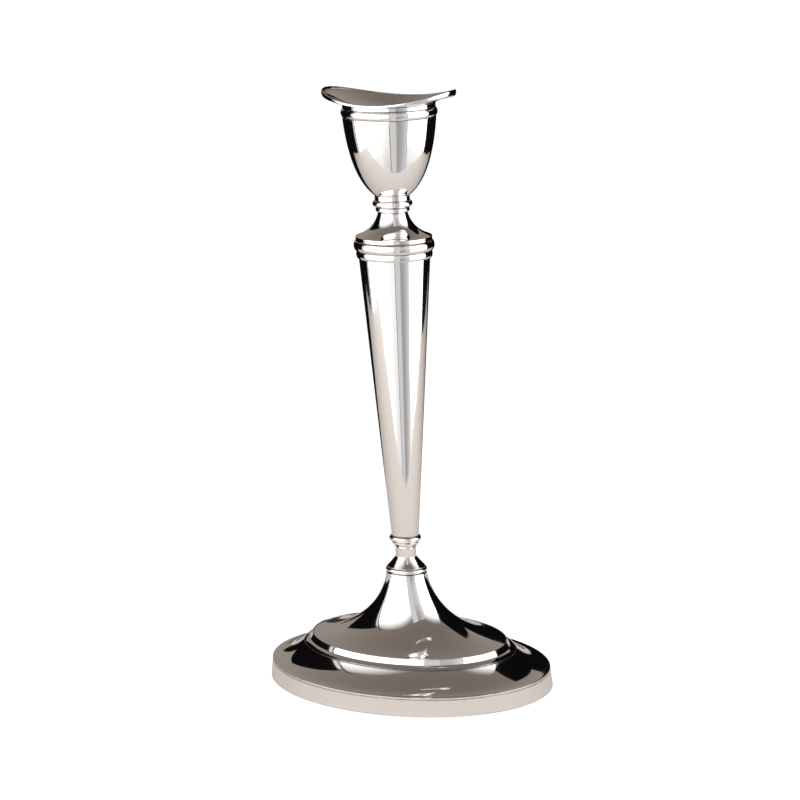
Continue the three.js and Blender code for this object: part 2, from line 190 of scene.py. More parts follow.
def inset(points, distance):
    """The same curve moved inwards, square to itself."""
    moved = []
    for i, point in enumerate(points):
        before = Vector(points[max(i - 1, 0)])
        after = Vector(points[min(i + 1, len(points) - 1)])
        along = (after - before).normalized()
        moved.append((point[0] - along.y * distance, point[1] + along.x * distance))
    return moved


def shell(outer):
    """A sheet wall from its outer curve."""
    return outer + inset(outer, SHEET)[::-1]


def reed(inner, crown, bottom, top):
    """A drawn half-round moulding that stands out from inner to crown."""
    rise = (top - bottom) / 2
    bulge = min(rise, (crown - inner) * REED_BULGE)
    return [(inner, bottom)] + half_round((crown - bulge, bottom + rise), bulge, rise) + [(inner, top)]


def eased(profile, radius):
    """The profile with its sharp corners rounded, as polishing leaves them."""
    rounded = []
    count = len(profile)
    for i, point in enumerate(profile):
        corner = Vector(point)
        back = Vector(profile[i - 1]) - corner
        ahead = Vector(profile[(i + 1) % count]) - corner
        if corner.x < HAIRLINE or back.length < TINY or ahead.length < TINY:
            rounded.append(point)
            continue
        bend = math.pi - back.angle(ahead)
        if bend < CORNER_ANGLE:
            rounded.append(point)
            continue
        reach = min(radius * math.tan(bend / 2), CORNER_SHARE * back.length, CORNER_SHARE * ahead.length)
        start = corner + back.normalized() * reach
        end = corner + ahead.normalized() * reach
        if back.length > 2 * SEAM_FADE:
            rounded.append(tuple(corner + back.normalized() * SEAM_FADE))
        rounded += sweep(tuple(start), point, tuple(end), CORNER_STEPS)
        if ahead.length > 2 * SEAM_FADE:
            rounded.append(tuple(corner + ahead.normalized() * SEAM_FADE))
    return rounded


def turned(name, profile, width_of, ease=EASE, lift=None):
    """Turns a closed profile round the upright axis into one smooth oval piece.

    Every point keeps how near it lies to the piece's bottom or top edge, where dirt gathers.
    """
    profile = eased(profile, ease)
    bottom = min(height for _, height in profile)
    top = max(height for _, height in profile)
    mesh = bpy.data.meshes.new(name)
    shape = bmesh.new()
    rings = []
    nearness = []
    for length, height in profile:
        ring = []
        for facet in range(FACETS if length > TINY else 1):
            angle = 2 * math.pi * facet / FACETS
            x = length * math.cos(angle)
            y = width_of(length) * math.sin(angle)
            z = lift(x, y, height) if lift else height
            ring.append(shape.verts.new((x * MM, y * MM, z * MM)))
            nearness.append(max(0, 1 - min(height - bottom, top - height) / SEAM_FADE))
        rings.append(ring)
    pairs = list(zip(rings, rings[1:]))
    if profile[0][0] > TINY:
        pairs.append((rings[-1], rings[0]))
    for low, high in pairs:
        for facet in range(FACETS):
            follow = (facet + 1) % FACETS
            corners = []
            for vert in (low[facet % len(low)], low[follow % len(low)],
                         high[follow % len(high)], high[facet % len(high)]):
                if vert not in corners:
                    corners.append(vert)
            if len(corners) > 2:
                shape.faces.new(corners)
    bmesh.ops.recalc_face_normals(shape, faces=shape.faces)
    shape.to_mesh(mesh)
    shape.free()
    mesh.attributes.new("joint", "FLOAT", "POINT").data.foreach_set("value", nearness)
    mesh.shade_smooth()
    mesh.set_sharp_from_angle(angle=SHARP_ANGLE)
    piece = bpy.data.objects.new(name, mesh)
    bpy.context.scene.collection.objects.link(piece)
    return piece


def fit(piece, node, finish):
    """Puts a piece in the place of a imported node, on the node's body, with its finish."""
    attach(piece, frame["nodes"][node]["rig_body"])
    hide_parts(node)
    piece.data.materials.append(finish)


def line_inside(piece, finish, below):
    """Gives the faces that look inwards, lower than a height, the finish of the inside."""
    piece.data.materials.append(finish)
    for face in piece.data.polygons:
        outward = face.normal.x * face.center.x + face.normal.y * face.center.y
        facing_in = outward < 0 or face.normal.z > UPWARD
        if facing_in and face.center.z < below * MM:
            face.material_index = 1


def linear(code):
    """A colour written as an sRGB hex code, in linear light."""
    channels = [int(code[i:i + 2], 16) / 255 for i in (1, 3, 5)]
    return [c / 12.92 if c <= 0.04045 else ((c + 0.055) / 1.055) ** 2.4 for c in channels] + [1]


def feed(tree, node, inputs):
    """Sets a node's inputs, or links them where they come from another node."""
    for name, value in inputs.items():
        if isinstance(value, bpy.types.NodeSocket):
            tree.links.new(value, node.inputs[name])
        else:
            node.inputs[name].default_value = value


def add_node(tree, kind, settings, inputs):
    """Adds one shader node with its settings and inputs."""
    node = tree.nodes.new(kind)
    for name, value in settings.items():
        setattr(node, name, value)
    feed(tree, node, inputs)
    return node


def new_material(name):
    """An empty material with its shader and the piece's own coordinates in metres."""
    material = bpy.data.materials.new(name)
    material.use_nodes = True
    tree = material.node_tree
    shader = tree.nodes["Principled BSDF"]
    place = tree.nodes.new("ShaderNodeTexCoord").outputs["Object"]
    return material, tree, shader, place


def mopped_silver():
    """Sterling silver, spun and mopped.

    A near-neutral mirror with slow waves, hairlines that run round the axis, and a brown breath of
    tarnish where two pieces meet. The hairlines are drawn coarser than real ones so that they show.
    """
    material, tree, shader, place = new_material("sterling_silver_spun_and_mopped")
    cloud = add_node(tree, "ShaderNodeTexNoise", {}, {"Vector": place, "Scale": 1 / (22 * MM), "Detail": 3})
    body = add_node(tree, "ShaderNodeMix", {"data_type": "RGBA"},
                    {"Factor": cloud.outputs["Fac"], "A": linear("#f7f6f5"), "B": linear("#f2f0ee")})
    seam = add_node(tree, "ShaderNodeAttribute", {"attribute_name": "joint"}, {}).outputs["Fac"]
    deep = add_node(tree, "ShaderNodeMath", {"operation": "POWER"}, {0: seam, 1: 2.0}).outputs["Value"]
    speck = add_node(tree, "ShaderNodeTexNoise", {},
                     {"Vector": place, "Scale": 1 / (2.5 * MM), "Detail": 4})
    tarnish = add_node(tree, "ShaderNodeMath", {"operation": "MULTIPLY"},
                       {0: deep, 1: speck.outputs["Fac"]}).outputs["Value"]
    colour = add_node(tree, "ShaderNodeMix", {"data_type": "RGBA"},
                      {"Factor": tarnish, "A": body.outputs["Result"], "B": linear("#5d5347")})
    drawn_out = add_node(tree, "ShaderNodeMapping", {},
                         {"Vector": place, "Scale": (1 / (14 * MM), 1 / (14 * MM), 1 / (0.8 * MM))})
    hair = add_node(tree, "ShaderNodeTexNoise", {},
                    {"Vector": drawn_out.outputs["Vector"], "Scale": 1, "Detail": 2})
    gloss = add_node(tree, "ShaderNodeMapRange", {},
                     {"Value": hair.outputs["Fac"], "From Min": 0.3, "From Max": 0.7,
                      "To Min": 0.04, "To Max": 0.085})
    dulled = add_node(tree, "ShaderNodeMath", {"operation": "MULTIPLY_ADD"},
                      {0: tarnish, 1: 0.25, 2: gloss.outputs["Result"]})
    wave = add_node(tree, "ShaderNodeTexNoise", {}, {"Vector": place, "Scale": 1 / (15 * MM), "Detail": 1})
    bump = add_node(tree, "ShaderNodeBump", {},
                    {"Strength": 1.0, "Distance": 0.03 * MM, "Height": wave.outputs["Fac"]})
    feed(tree, shader, {"Base Color": colour.outputs["Result"], "Roughness": dulled.outputs["Value"],
                        "Normal": bump.outputs["Normal"], "Metallic": 1})
    return material


def satin_silver():
    """Sterling silver as it left the spinning lathe: a soft grey sheen with fine rings."""
    material, tree, shader, place = new_material("sterling_silver_spun_satin")
    cloud = add_node(tree, "ShaderNodeTexNoise", {}, {"Vector": place, "Scale": 1 / (7 * MM), "Detail": 4})
    colour = add_node(tree, "ShaderNodeMix", {"data_type": "RGBA"},
                      {"Factor": cloud.outputs["Fac"], "A": linear("#d9d4ca"), "B": linear("#b9b2a5")})
    drawn_out = add_node(tree, "ShaderNodeMapping", {},
                         {"Vector": place, "Scale": (1 / (18 * MM), 1 / (18 * MM), 1 / (0.7 * MM))})
    rings = add_node(tree, "ShaderNodeTexNoise", {},
                     {"Vector": drawn_out.outputs["Vector"], "Scale": 1, "Detail": 3})
    gloss = add_node(tree, "ShaderNodeMapRange", {},
                     {"Value": rings.outputs["Fac"], "From Min": 0.3, "From Max": 0.7,
                      "To Min": 0.24, "To Max": 0.42})
    bump = add_node(tree, "ShaderNodeBump", {},
                    {"Strength": 0.6, "Distance": 0.02 * MM, "Height": rings.outputs["Fac"]})
    feed(tree, shader, {"Base Color": colour.outputs["Result"], "Roughness": gloss.outputs["Result"],
                        "Normal": bump.outputs["Normal"], "Metallic": 1})
    return material


def turned_steel():
    """Mild steel, turned bright: a cool grey with tool rings and a faint brown bloom."""
    material, tree, shader, place = new_material("mild_steel_turned_bright")
    bloom = add_node(tree, "ShaderNodeTexNoise", {}, {"Vector": place, "Scale": 1 / (5 * MM), "Detail": 6})
    share = add_node(tree, "ShaderNodeMapRange", {},
                     {"Value": bloom.outputs["Fac"], "From Min": 0.45, "From Max": 0.75})
    colour = add_node(tree, "ShaderNodeMix", {"data_type": "RGBA"},
                      {"Factor": share.outputs["Result"], "A": linear("#93959a"), "B": linear("#7a6a5c")})
    drawn_out = add_node(tree, "ShaderNodeMapping", {},
                         {"Vector": place, "Scale": (1 / (9 * MM), 1 / (9 * MM), 1 / (0.5 * MM))})
    rings = add_node(tree, "ShaderNodeTexNoise", {},
                     {"Vector": drawn_out.outputs["Vector"], "Scale": 1, "Detail": 3})
    gloss = add_node(tree, "ShaderNodeMapRange", {},
                     {"Value": rings.outputs["Fac"], "From Min": 0.3, "From Max": 0.7,
                      "To Min": 0.28, "To Max": 0.5})
    bump = add_node(tree, "ShaderNodeBump", {},
                    {"Strength": 0.6, "Distance": 0.03 * MM, "Height": rings.outputs["Fac"]})
    feed(tree, shader, {"Base Color": colour.outputs["Result"], "Roughness": gloss.outputs["Result"],
                        "Normal": bump.outputs["Normal"], "Metallic": 1})
    return material


def wool_baize():
    """Wool baize, woven, milled and raised: a dull green nap with no visible threads."""
    material, tree, shader, place = new_material("wool_baize_milled")
    cloud = add_node(tree, "ShaderNodeTexNoise", {}, {"Vector": place, "Scale": 1 / (18 * MM), "Detail": 5})
    nap = add_node(tree, "ShaderNodeTexNoise", {}, {"Vector": place, "Scale": 1 / (0.6 * MM), "Detail": 4})
    shade = add_node(tree, "ShaderNodeMath", {"operation": "MULTIPLY"},
                     {0: cloud.outputs["Fac"], 1: nap.outputs["Fac"]})
    share = add_node(tree, "ShaderNodeMapRange", {},
                     {"Value": shade.outputs["Value"], "From Min": 0.15, "From Max": 0.4})
    colour = add_node(tree, "ShaderNodeMix", {"data_type": "RGBA"},
                      {"Factor": share.outputs["Result"], "A": linear("#1b3324"), "B": linear("#34573f")})
    dry = add_node(tree, "ShaderNodeMapRange", {},
                   {"Value": nap.outputs["Fac"], "To Min": 0.88, "To Max": 1.0})
    bump = add_node(tree, "ShaderNodeBump", {},
                    {"Strength": 0.8, "Distance": 0.25 * MM, "Height": nap.outputs["Fac"]})
    feed(tree, shader, {"Base Color": colour.outputs["Result"], "Roughness": dry.outputs["Result"],
                        "Normal": bump.outputs["Normal"], "Sheen Weight": 0.35})
    return material


def poured_plaster():
    """Gypsum plaster, poured: chalky off-white with small air pits."""
    material, tree, shader, place = new_material("gypsum_plaster_poured")
    cloud = add_node(tree, "ShaderNodeTexNoise", {}, {"Vector": place, "Scale": 1 / (9 * MM), "Detail": 5})
    colour = add_node(tree, "ShaderNodeMix", {"data_type": "RGBA"},
                      {"Factor": cloud.outputs["Fac"], "A": linear("#e1dccf"), "B": linear("#c9c1b0")})
    pits = add_node(tree, "ShaderNodeTexVoronoi", {}, {"Vector": place, "Scale": 1 / (2.2 * MM)})
    depth = add_node(tree, "ShaderNodeMapRange", {},
                     {"Value": pits.outputs["Distance"], "From Min": 0.0, "From Max": 0.25})
    chalk = add_node(tree, "ShaderNodeMapRange", {},
                     {"Value": cloud.outputs["Fac"], "To Min": 0.8, "To Max": 0.95})
    bump = add_node(tree, "ShaderNodeBump", {},
                    {"Strength": 0.7, "Distance": 0.2 * MM, "Height": depth.outputs["Result"]})
    feed(tree, shader, {"Base Color": colour.outputs["Result"], "Roughness": chalk.outputs["Result"],
                        "Normal": bump.outputs["Normal"]})
    return material


silver = mopped_silver()
satin = satin_silver()
steel = turned_steel()
baize = wool_baize()
plaster = poured_plaster()

# Plain band round the foot
band_low, band_high = levels("foot_band")[:2]
BAND_FLARE = 1
BAND_WALL = 1.4
fit(turned("polished_foot_band", [
    (BASE_LENGTH - BAND_WALL, band_low),
    (BASE_LENGTH, band_low),
    (BASE_LENGTH - BAND_FLARE, band_high + CLOSE_UP),
    (BASE_LENGTH - BAND_FLARE - BAND_WALL, band_high + CLOSE_UP),
], foot_width, HAIRLINE), "foot_band", silver)

# Hollow border, up to the edge of the ledge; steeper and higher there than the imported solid
border_low, _, border_length = levels("foot_border")[:3]
LEDGE_EDGE = (53.9, 18.0)
BORDER_PULL = 62.4
border_curve = sweep((border_length, border_low + SHEET), (BORDER_PULL, border_low + SHEET), LEDGE_EDGE)
fit(turned("polished_foot_border", shell(border_curve), foot_width), "foot_border", silver)

# Moulding: a gentle ledge, a steep face and a thin lip round the dome's edge
LEDGE_CREST = 52.6
LEDGE_INNER = (51.0, 19.6)
LIP = (49.45, 22.2)
LIP_WALL = 0.18
REBATE = 1.15
MOULDING_DEPTH = 3.4
moulding_low = LEDGE_EDGE[1] + HAIRLINE
ledge = sweep((LEDGE_EDGE[0], moulding_low), (LEDGE_CREST, LEDGE_INNER[1] - SEAT), LEDGE_INNER, BEAD_STEPS)
fit(turned("polished_foot_moulding", [(LEDGE_INNER[0] - MOULDING_DEPTH, moulding_low)] + ledge + [
    LIP,
    (LIP[0] - LIP_WALL, LIP[1]),
    (LIP[0] - LIP_WALL, LIP[1] - REBATE),
    (LEDGE_INNER[0] - MOULDING_DEPTH, LIP[1] - REBATE),
], foot_width, HAIRLINE), "foot_moulding", silver)

# Dome, drawn up into a plain neck; the collar that the solids show as a bead is closed up inside it
ROD_HOLE = 3.4
collar_low, collar_high = levels("dome_bead")[:2]
dome_high = levels("foot_dome")[1]
dome_low = LIP[1] - REBATE + HAIRLINE + SHEET
DOME_SWEEP_IN = 0.16
DOME_SWEEP_UP = 0.2
NECK_TOP = 9.97
dome_curve = sweep((DOME_LENGTH, dome_low),
                   (DOME_TOP + (DOME_LENGTH - DOME_TOP) * DOME_SWEEP_IN,
                    dome_low + (dome_high - dome_low) * DOME_SWEEP_UP),
                   (DOME_TOP, dome_high))
dome_curve.append((NECK_TOP, collar_high))
fit(turned("polished_foot_dome", shell(dome_curve), foot_width), "foot_dome", silver)

collar = NECK_TOP - SHEET - SEAT
fit(turned("polished_dome_collar", [
    (ROD_HOLE, collar_low),
    (collar, collar_low),
    (collar, collar_high),
    (ROD_HOLE, collar_high),
], stem_width), "dome_bead", silver)

# Rings of both knops
for node in ("dome_ring", "column_ring", "upper_knop_ring", "upper_knop"):
    low, high, crown = levels(node)[:3]
    fit(turned("polished_" + node, reed(ROD_HOLE, crown, low - CLOSE_UP, high), stem_width), node, silver)

# Waisted spool of the lower knop
spool_low, spool_high, spool_length = levels("lower_knop")[:3]
SPOOL_WAIST = 5.1
SPOOL_TOP = 6.6
SPOOL_FLARE_HEIGHT = 4.8
SPOOL_NECK_HEIGHT = 3.9
SPOOL_FILLET_HEIGHT = 0.9
SPOOL_SWEEP_IN = 0.43
SPOOL_SWEEP_UP = 0.5
SPOOL_NECK_SWEEP = 0.4
waist = spool_low + SPOOL_FLARE_HEIGHT
neck_top = waist + SPOOL_NECK_HEIGHT
spool_fillet = spool_high - SPOOL_FILLET_HEIGHT
flare = sweep((spool_length, spool_low),
              (SPOOL_WAIST + (spool_length - SPOOL_WAIST) * SPOOL_SWEEP_IN,
               spool_low + SPOOL_FLARE_HEIGHT * SPOOL_SWEEP_UP),
              (SPOOL_WAIST, waist), BEAD_STEPS)
neck = sweep((SPOOL_WAIST, neck_top),
             (SPOOL_WAIST, neck_top + (spool_fillet - neck_top) * SPOOL_NECK_SWEEP),
             (SPOOL_TOP, spool_fillet), BEAD_STEPS)
fit(turned("polished_lower_knop", [(ROD_HOLE, spool_low - CLOSE_UP), (spool_length, spool_low - CLOSE_UP)]
           + flare + neck + [(SPOOL_TOP, spool_high), (ROD_HOLE, spool_high)], stem_width),
    "lower_knop", silver)

# Column and its reeds
column_low, column_high, column_head = levels("column")[:3]
COLUMN_FOOT = 6.7
COLUMN_STEPS = 24


def column_length(height):
    """Half-length of the tapered column at a height."""
    return COLUMN_FOOT + (column_head - COLUMN_FOOT) * (height - column_low) / (column_high - column_low)


rungs = [column_low - CLOSE_UP + (column_high - column_low + CLOSE_UP) * i / COLUMN_STEPS
         for i in range(COLUMN_STEPS + 1)]
outer_wall = [(column_length(height), height) for height in rungs]
inner_wall = [(length - SHEET, height) for length, height in outer_wall[::-1]]
fit(turned("polished_column", outer_wall + inner_wall, stem_width), "column", silver)

for node in ("lower_reed", "upper_reed"):
    low, high, crown = levels(node)[:3]
    profile = reed(column_length(high), crown, low, high + CLOSE_UP)
    profile[0] = (column_length(low) + HAIRLINE, low)
    profile[-1] = (column_length(high) + HAIRLINE, high + CLOSE_UP)
    fit(turned("polished_" + node, profile, stem_width), node, silver)

# Shoulder
shoulder_low, shoulder_high, shoulder_length = levels("shoulder")[:3]
SHOULDER_EDGE = 1.9
SHOULDER_TOP = 7.05
SHOULDER_SWEEP_IN = 0.2
SHOULDER_SWEEP_UP = 0.25
shoulder_edge = shoulder_low + SHOULDER_EDGE
shoulder_curve = sweep((shoulder_length, shoulder_edge),
                       (SHOULDER_TOP + (shoulder_length - SHOULDER_TOP) * SHOULDER_SWEEP_IN,
                        shoulder_edge + (shoulder_high - shoulder_edge) * SHOULDER_SWEEP_UP),
                       (SHOULDER_TOP, shoulder_high))
fit(turned("polished_shoulder", [(shoulder_length, shoulder_low)] + shell(shoulder_curve)
           + [(shoulder_length - SHEET, shoulder_low)], stem_width), "shoulder", silver)

# Urn of the sconce, satin inside
sconce_low, sconce_high, sconce_length = levels("sconce")[:3]
SCONCE_STEM = 8.4
SCONCE_STEM_HEIGHT = 2
SCONCE_FLOOR = 1.2
SCONCE_SWEEP_OUT = 0.82
SCONCE_SWEEP_UP = 0.24
urn_low = sconce_low + SCONCE_STEM_HEIGHT
urn_curve = sweep((SCONCE_STEM, urn_low),
                  (SCONCE_STEM + (sconce_length - SCONCE_STEM) * SCONCE_SWEEP_OUT,
                   urn_low + (sconce_high - urn_low) * SCONCE_SWEEP_UP),
                  (sconce_length, sconce_high))
urn_inside = [point for point in inset(urn_curve, SHEET) if point[1] > sconce_low + SCONCE_FLOOR]
urn = turned("polished_sconce", [(ROD_HOLE, sconce_low - CLOSE_UP), (SCONCE_STEM, sconce_low - CLOSE_UP)]
             + urn_curve + urn_inside[::-1]
             + [(SCONCE_STEM - SHEET, sconce_low + SCONCE_FLOOR), (ROD_HOLE, sconce_low + SCONCE_FLOOR)],
             stem_width)
fit(urn, "sconce", silver)
line_inside(urn, satin, sconce_high)

# Bead round the lip of the sconce
bead_low, bead_high, bead_crown = levels("sconce_bead")[:3]
mouth_low, mouth_high, mouth_length = levels("sconce_mouth")[:3]
MOUTH_WALL = 1.1
bead = reed(mouth_length - MOUTH_WALL, bead_crown, bead_low - CLOSE_UP, bead_high)
fit(turned("polished_sconce_bead", bead, stem_width), "sconce_bead", silver)

# Mouth of the sconce, and the loose drip pan with its rim, cup and skirt
RIM_HEIGHT = 2.3
RIM_THIN = 0.3
RIM_ROUND = 0.75
RIM_SAG = 1.2
PAN_STEPS = 24
pan_steps = [PAN_HOLE + (PAN_EDGE - PAN_HOLE) * i / PAN_STEPS for i in range(PAN_STEPS + 1)]
pan_under = [(length, PAN_LOW - dish_depth(length)) for length in pan_steps]
pan_over = [(length, height + SHEET) for length, height in pan_under[::-1]]
rim_middle = PAN_LOW + SHEET / 2


def raise_pan(x, y, height):
    """Curves the pan up towards both ends."""
    return height + pan_rise(x)


def raise_rim(x, y, height):
    """Curves the rim up with the pan: little more than the sheet at the sides, fuller below at the ends."""
    end = (x / PAN_LENGTH) ** 2
    fullness = RIM_THIN + (1 - RIM_THIN) * end
    offset = height - rim_middle
    if offset < 0:
        fullness += RIM_SAG * end * end
    sheet_part = max(-SHEET / 2, min(SHEET / 2, offset))
    return rim_middle + sheet_part + (offset - sheet_part) * fullness + pan_rise(x)


def seated(low, high):
    """How a ring between two heights is shaped at its top to meet the pan's underside."""
    def meet(x, y, height):
        share = (height - low) / (high - low)
        return height + share * (pan_underside(x, y) - HAIRLINE - high)
    return meet


fit(turned("polished_sconce_mouth", [
    (mouth_length - MOUTH_WALL, mouth_low - CLOSE_UP),
    (mouth_length, mouth_low - CLOSE_UP),
    (mouth_length, mouth_high),
    (mouth_length - MOUTH_WALL, mouth_high),
], stem_width, lift=seated(mouth_low - CLOSE_UP, mouth_high)), "sconce_mouth", silver)
fit(turned("polished_drip_pan", pan_under + pan_over, pan_width, lift=raise_pan), "drip_pan", silver)
rim_inner = PAN_LENGTH - RIM_DEPTH
rim_bead = half_round((PAN_LENGTH - RIM_ROUND, rim_middle), RIM_ROUND, RIM_HEIGHT / 2)
fit(turned("polished_pan_rim",
           [(rim_inner, rim_middle - SHEET / 2)] + rim_bead + [(rim_inner, rim_middle + SHEET / 2)],
           rim_width, HAIRLINE, raise_rim), "pan_rim", silver)

cup_low, cup_high = levels("candle_cup")[:2]
CUP_WALL = 0.85
cup = turned("polished_candle_cup", [
    (0, cup_low),
    (CUP_RADIUS, cup_low),
    (CUP_RADIUS, cup_high),
    (CUP_RADIUS - CUP_WALL, cup_high),
    (CUP_RADIUS - CUP_WALL, cup_low + CUP_WALL),
    (0, cup_low + CUP_WALL),
], round_width)
fit(cup, "candle_cup", silver)
line_inside(cup, satin, cup_high - CUP_WALL)

skirt_low, skirt_high, skirt_length = levels("pan_skirt")[:3]
fit(turned("polished_pan_skirt", [
    (skirt_length - SHEET, skirt_low),
    (skirt_length, skirt_low),
    (skirt_length, skirt_high),
    (skirt_length - SHEET, skirt_high),
], stem_width, lift=seated(skirt_low, skirt_high)), "pan_skirt", silver)

# Tie rod with its head, and the washer
rod_low, rod_high, head_radius = levels("tie_rod")[:3]
ROD_RADIUS = 2.5
ROD_HEAD_HEIGHT = 2.2
head_low = rod_high - ROD_HEAD_HEIGHT
fit(turned("turned_tie_rod", [
    (0, rod_low),
    (ROD_RADIUS, rod_low),
    (ROD_RADIUS, head_low),
    (head_radius, head_low),
    (head_radius, rod_high),
    (0, rod_high),
], round_width, SOFT_EASE), "tie_rod", steel)

washer_low, washer_high, washer_radius = levels("rod_washer")[:3]
fit(turned("turned_rod_washer", [
    (ROD_RADIUS + SEAT, washer_low),
    (washer_radius, washer_low),
    (washer_radius, washer_high),
    (ROD_RADIUS + SEAT, washer_high),
], round_width), "rod_washer", steel)

# Baize under the foot, cut a little smaller than the band, with a soft edge
pad_low, pad_high, pad_length, pad_width = levels("baize_pad")
PAD_RINGS = 12


def pad_oval(length):
    """Half-width of the baize for a half-length."""
    return length * pad_width / pad_length


pad_rings = [pad_length * i / PAD_RINGS for i in range(PAD_RINGS + 1)]
pad = turned("baize_facing", [(length, pad_low) for length in pad_rings]
             + [(length, pad_high) for length in pad_rings[::-1]], pad_oval, SOFT_EASE)
fit(pad, "baize_pad", baize)

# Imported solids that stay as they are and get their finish
for node, finish in (("base_plate", steel), ("rod_nut", steel), ("foot_filling", plaster)):
    frame["nodes"][node].material_slots[0].material = finish

# Camera
CAMERA_TURN = math.radians(27)
CAMERA_DISTANCE = 1.2052
CAMERA_HEIGHT = 0.4374
AIM_HEIGHT = 0.1387
CAMERA_ROLL = math.radians(-2.2)
SENSOR_WIDTH = 36
FOCAL_LENGTH = 118.54
towards_camera = Vector((math.sin(CAMERA_TURN), -math.cos(CAMERA_TURN), 0))
camera = bpy.data.objects.new("camera", bpy.data.cameras.new("camera"))
camera.location = towards_camera * CAMERA_DISTANCE + Vector((0, 0, CAMERA_HEIGHT))
aim = Vector((0, 0, AIM_HEIGHT)) - camera.location
camera.rotation_mode = "QUATERNION"
camera.rotation_quaternion = aim.to_track_quat("-Z", "Y") @ Quaternion((0, 0, 1), CAMERA_ROLL)
camera.data.sensor_width = SENSOR_WIDTH
camera.data.lens = FOCAL_LENGTH
bpy.context.scene.collection.objects.link(camera)
bpy.context.scene.camera = camera

# Studio: a turn is the level angle from the camera in degrees, positive to the right of the picture
towards_right = Vector((math.cos(CAMERA_TURN), math.sin(CAMERA_TURN), 0))


def direction(turn):
    """The level direction at a turn from the camera."""
    return towards_camera * math.cos(math.radians(turn)) + towards_right * math.sin(math.radians(turn))


def glow(name, code, strength, last_strength=None, start=0.0, axis="Z"):
    """A lit surface, whose strength may change to another from a start on its way up or across."""
    material = bpy.data.materials.new(name)
    material.use_nodes = True
    tree = material.node_tree
    tree.nodes.clear()
    level = strength
    if last_strength is not None:
        spot = tree.nodes.new("ShaderNodeTexCoord").outputs["Generated"]
        along = add_node(tree, "ShaderNodeSeparateXYZ", {}, {"Vector": spot}).outputs[axis]
        level = add_node(tree, "ShaderNodeMapRange", {"interpolation_type": "SMOOTHSTEP"},
                         {"Value": along, "From Min": start, "To Min": strength,
                          "To Max": last_strength}).outputs["Result"]
    lamp = add_node(tree, "ShaderNodeEmission", {}, {"Color": linear(code), "Strength": level})
    add_node(tree, "ShaderNodeOutputMaterial", {}, {"Surface": lamp.outputs["Emission"]})
    return material


def studio_sheet(name, corners, material):
    """A flat piece of the studio through its corners."""
    mesh = bpy.data.meshes.new(name)
    mesh.from_pydata(corners, [], [range(len(corners))])
    sheet = bpy.data.objects.new(name, mesh)
    sheet.data.materials.append(material)
    bpy.context.scene.collection.objects.link(sheet)
    return sheet


def panel(name, left, right, distance, low, high, material):
    """An upright studio panel between two turns, which the camera doesn't see.

    Its distance, bottom and top are in metres. The top may be given at the left and right edge apart.
    """
    high_left, high_right = high if isinstance(high, tuple) else (high, high)
    reach = distance / math.cos(math.radians((right - left) / 2))
    edges = ((left, low), (right, low), (right, high_right), (left, high_left))
    corners = [direction(turn) * reach + Vector((0, 0, z)) for turn, z in edges]
    studio_sheet(name, corners, material).visible_camera = False


def level_sheet(name, corners, height, material):
    """A level sheet of the studio, from its corners towards the camera and to the right, in metres."""
    places = [towards_camera * front + towards_right * right + Vector((0, 0, height))
              for front, right in corners]
    return studio_sheet(name, places, material)


# Softboxes, bright up to the middle and fading towards the top
LEFT_OUTER = -97
LEFT_INNER = -16
RIGHT_INNER = 29
RIGHT_OUTER = 94
BELOW = -0.9
SOFTBOX_AWAY = 0.8
DIFFUSER = "#fffdfa"
softbox = glow("softbox_diffuser", DIFFUSER, 2.2, last_strength=0.2, start=0.52)
panel("softbox_left", LEFT_OUTER, LEFT_INNER, SOFTBOX_AWAY, BELOW, (1.2, 1.45), softbox)
panel("softbox_right", RIGHT_INNER, RIGHT_OUTER, SOFTBOX_AWAY, BELOW, 1.75, softbox)

# Lower stretch of both softboxes and the inner side of the left one, where the diffuser is dimmer
LAYER = 0.005
FOOT_AWAY = SOFTBOX_AWAY - 2 * LAYER
SIDE_AWAY = FOOT_AWAY - LAYER
EDGE_AWAY = SIDE_AWAY - LAYER
FOOT_TOP = -0.2
SIDE_TOP = 0.1
softbox_foot = glow("softbox_diffuser_foot", DIFFUSER, 0.7, last_strength=1.05, start=0.3)
softbox_side = glow("softbox_diffuser_side", DIFFUSER, 0.82, last_strength=1.2, start=0.5)
softbox_edge = glow("softbox_diffuser_edge", DIFFUSER, 0.73, last_strength=1.15, start=0.5)
panel("softbox_left_foot", LEFT_OUTER, LEFT_INNER, FOOT_AWAY, BELOW, FOOT_TOP, softbox_foot)
panel("softbox_right_foot", RIGHT_INNER, RIGHT_OUTER, FOOT_AWAY, BELOW, FOOT_TOP, softbox_foot)
panel("softbox_left_side", -34, LEFT_INNER, SIDE_AWAY, BELOW, SIDE_TOP, softbox_side)
panel("softbox_left_edge", -25, LEFT_INNER, EDGE_AWAY, BELOW, SIDE_TOP, softbox_edge)

# Grey room behind the camera, seen between the softboxes, with light on the middle of its right wall
WALL_AWAY = 1.8
WALL_END = 31
WALL_LOW = -1.9
WALL_HIGH = 2.9
WALL_GREY = "#e2e0e2"
pale = glow("pale_grey_wall", "#e8e6e8", 0.84)
graded = glow("grey_wall_with_shade", WALL_GREY, 0.5, last_strength=0.95, start=0.2, axis="X")
half_lit = glow("grey_wall_half_lit", WALL_GREY, 0.64, last_strength=1.05, start=0.25, axis="X")
lit = glow("grey_wall_lit", WALL_GREY, 0.78, last_strength=1.15, start=0.3, axis="X")
panel("wall_left", -18, 0, WALL_AWAY, WALL_LOW, WALL_HIGH, pale)
panel("wall_right", 0, WALL_END, WALL_AWAY, WALL_LOW, WALL_HIGH, graded)
panel("wall_right_half_lit", 0, WALL_END, WALL_AWAY - LAYER, 0.1, 1.75, half_lit)
panel("wall_right_lit", 0, WALL_END, WALL_AWAY - 2 * LAYER, 0.3, 1.25, lit)

